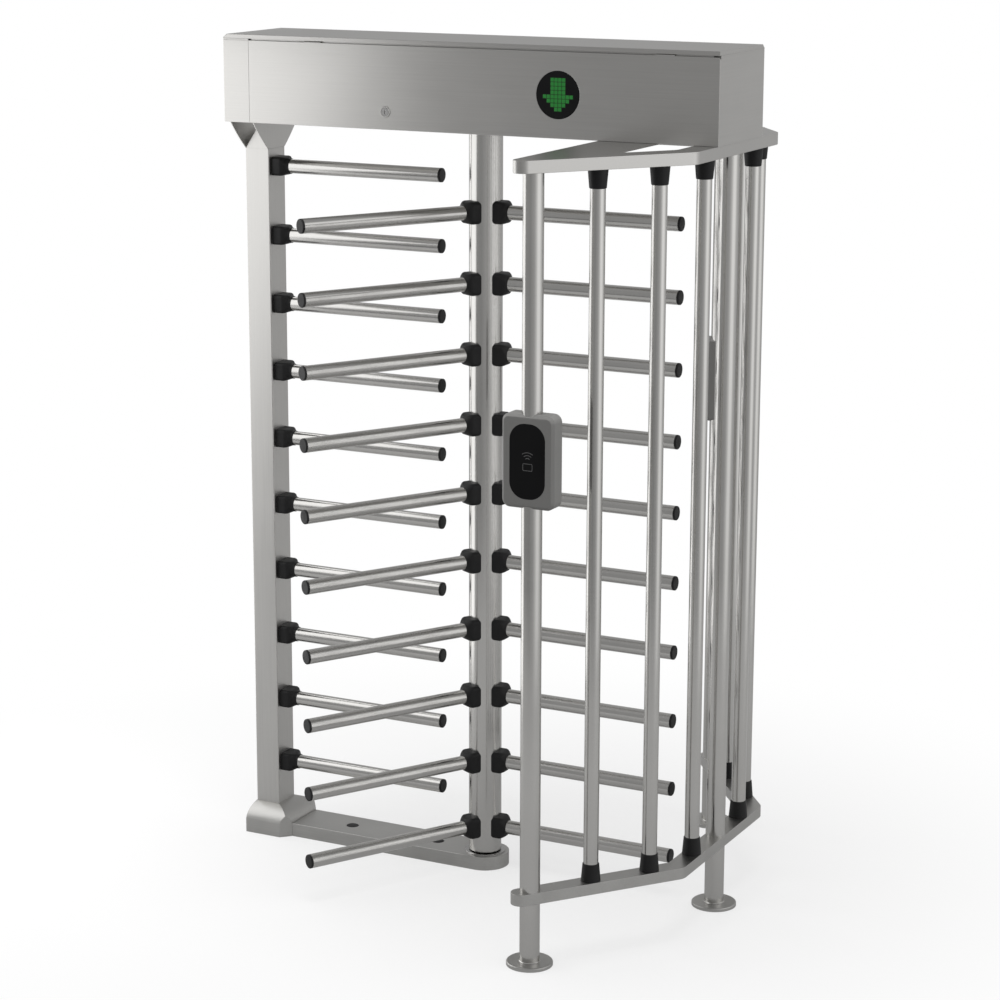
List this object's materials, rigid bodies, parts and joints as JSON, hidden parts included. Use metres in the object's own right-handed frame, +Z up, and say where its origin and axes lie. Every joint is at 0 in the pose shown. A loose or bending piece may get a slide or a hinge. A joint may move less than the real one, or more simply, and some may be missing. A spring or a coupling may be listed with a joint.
{
  "type": "full height turnstile",
  "caption": "Full height turnstile: winged rotor of stainless arms between a combed post and a bent cage of uprights, with card readers and a header housing its locking mechanism.",
  "frame": {"origin": "On the floor, on the rotor's axis, at the centre of the base plate's rounded end.", "axes": "+X runs along the header from the combed post towards the cage, -Y is the front that the picture shows, +Z is up."},
  "size_m": [1.4555, 1.2932, 2.2468],
  "materials": {
    "stainless": "brushed stainless steel with fine grain",
    "foot_steel": "brushed stainless steel, slightly darker near the floor",
    "black_sleeve": "satin black moulded plastic",
    "reader_case": "satin silver-grey casing",
    "dark_window": "gloss black window",
    "inner_black": "plain black casing",
    "gasket_rubber": "soft black rubber strip",
    "zinc_steel": "zinc-plated steel",
    "machined_steel": "machined steel",
    "coil_case": "wound solenoid in a steel and plastic case",
    "board_green": "circuit board on a steel carrier",
    "supply_case": "perforated aluminium case"
  },
  "bodies": {
    "frame": {"base_plate": "foot_steel", "anchor_covers": "black_sleeve", "pivot_disc": "foot_steel", "pivot_seal": "black_sleeve", "post_foot": "foot_steel", "left_post": "stainless", "post_capital": "stainless", "comb_arms": "stainless", "comb_sleeves": "black_sleeve", "comb_end_caps": "black_sleeve", "bottom_rail": "stainless", "top_plate": "stainless", "floor_flanges": "stainless", "lower_posts": "stainless", "cage_posts": "stainless", "cage_tubes": "stainless", "lower_tube_sleeves": "black_sleeve", "upper_tube_sleeves": "black_sleeve", "front_reader_housing": "reader_case", "front_reader_window": "dark_window", "rear_reader_housing": "reader_case", "rear_reader_window": "dark_window", "header_floor": "stainless", "header_beams": "zinc_steel", "left_end_cap": "stainless", "right_end_plate": "stainless", "rear_panel": "stainless", "top_cover": "stainless", "hinge_rail": "stainless", "door_gasket": "gasket_rubber", "rear_indicator_lens": "dark_window", "rear_indicator_housing": "inner_black", "mechanism_plate": "zinc_steel", "bearing_housing": "zinc_steel", "shaft_bearing": "machined_steel", "mechanism_bolts": "zinc_steel", "solenoid_coils": "coil_case", "pawl_pins": "zinc_steel", "drive_bracket": "zinc_steel", "drive_unit": "inner_black", "control_board": "board_green", "power_supply": "supply_case"},
    "rotor": {"rotor_column": "stainless", "wing_a_arms": "stainless", "wing_b_arms": "stainless", "wing_c_arms": "stainless", "wing_sleeves": "black_sleeve", "wing_end_caps": "black_sleeve", "pivot_bush": "black_sleeve", "rotor_shaft": "machined_steel", "locking_wheel": "machined_steel"},
    "front_door": {"front_door": "stainless", "front_indicator_lens": "dark_window", "front_indicator_housing": "inner_black", "lock_ring": "stainless"},
    "door_lock": {"lock_barrel": "zinc_steel"},
    "left_pawl": {"left_pawl": "machined_steel"},
    "right_pawl": {"right_pawl": "machined_steel"},
    "left_plunger": {"left_plunger": "machined_steel"},
    "right_plunger": {"right_plunger": "machined_steel"}
  },
  "joints": [
    {"name": "rotor_spin", "type": "hinge", "parent": "frame", "child": "rotor", "pos_m": [0, 0, 0.05], "axis": [0, 0, 1], "continuous": true},
    {"name": "door_hinge", "type": "hinge", "parent": "frame", "child": "front_door", "pos_m": [0.04, -0.1415, 2.2313], "axis": [-1, 0, 0], "range_deg": [0, 90]},
    {"name": "lock_turn", "type": "hinge", "parent": "front_door", "child": "door_lock", "pos_m": [-0.2185, -0.1455, 2.0615], "axis": [0, 1, 0], "range_deg": [0, 90]},
    {"name": "left_pawl_swing", "type": "hinge", "parent": "frame", "child": "left_pawl", "pos_m": [-0.1244, -0.00254, 2.1017], "axis": [0, 0, 1], "range_deg": [0, 12], "stiffness_Nm_per_rad": 0.3},
    {"name": "right_pawl_swing", "type": "hinge", "parent": "frame", "child": "right_pawl", "pos_m": [0.1244, -0.00254, 2.1017], "axis": [0, 0, -1], "range_deg": [0, 12], "stiffness_Nm_per_rad": 0.3},
    {"name": "left_plunger_slide", "type": "slide", "parent": "frame", "child": "left_plunger", "axis": [0.866, 0.5, 0], "range_m": [0, 0.0066]},
    {"name": "right_plunger_slide", "type": "slide", "parent": "frame", "child": "right_plunger", "axis": [-0.866, 0.5, 0], "range_m": [0, 0.0066]}
  ],
  "couplings": [
    {"joint": "left_plunger_slide", "follows": "left_pawl_swing", "m_per_rad": 0.03},
    {"joint": "right_plunger_slide", "follows": "right_pawl_swing", "m_per_rad": 0.03}
  ]
}
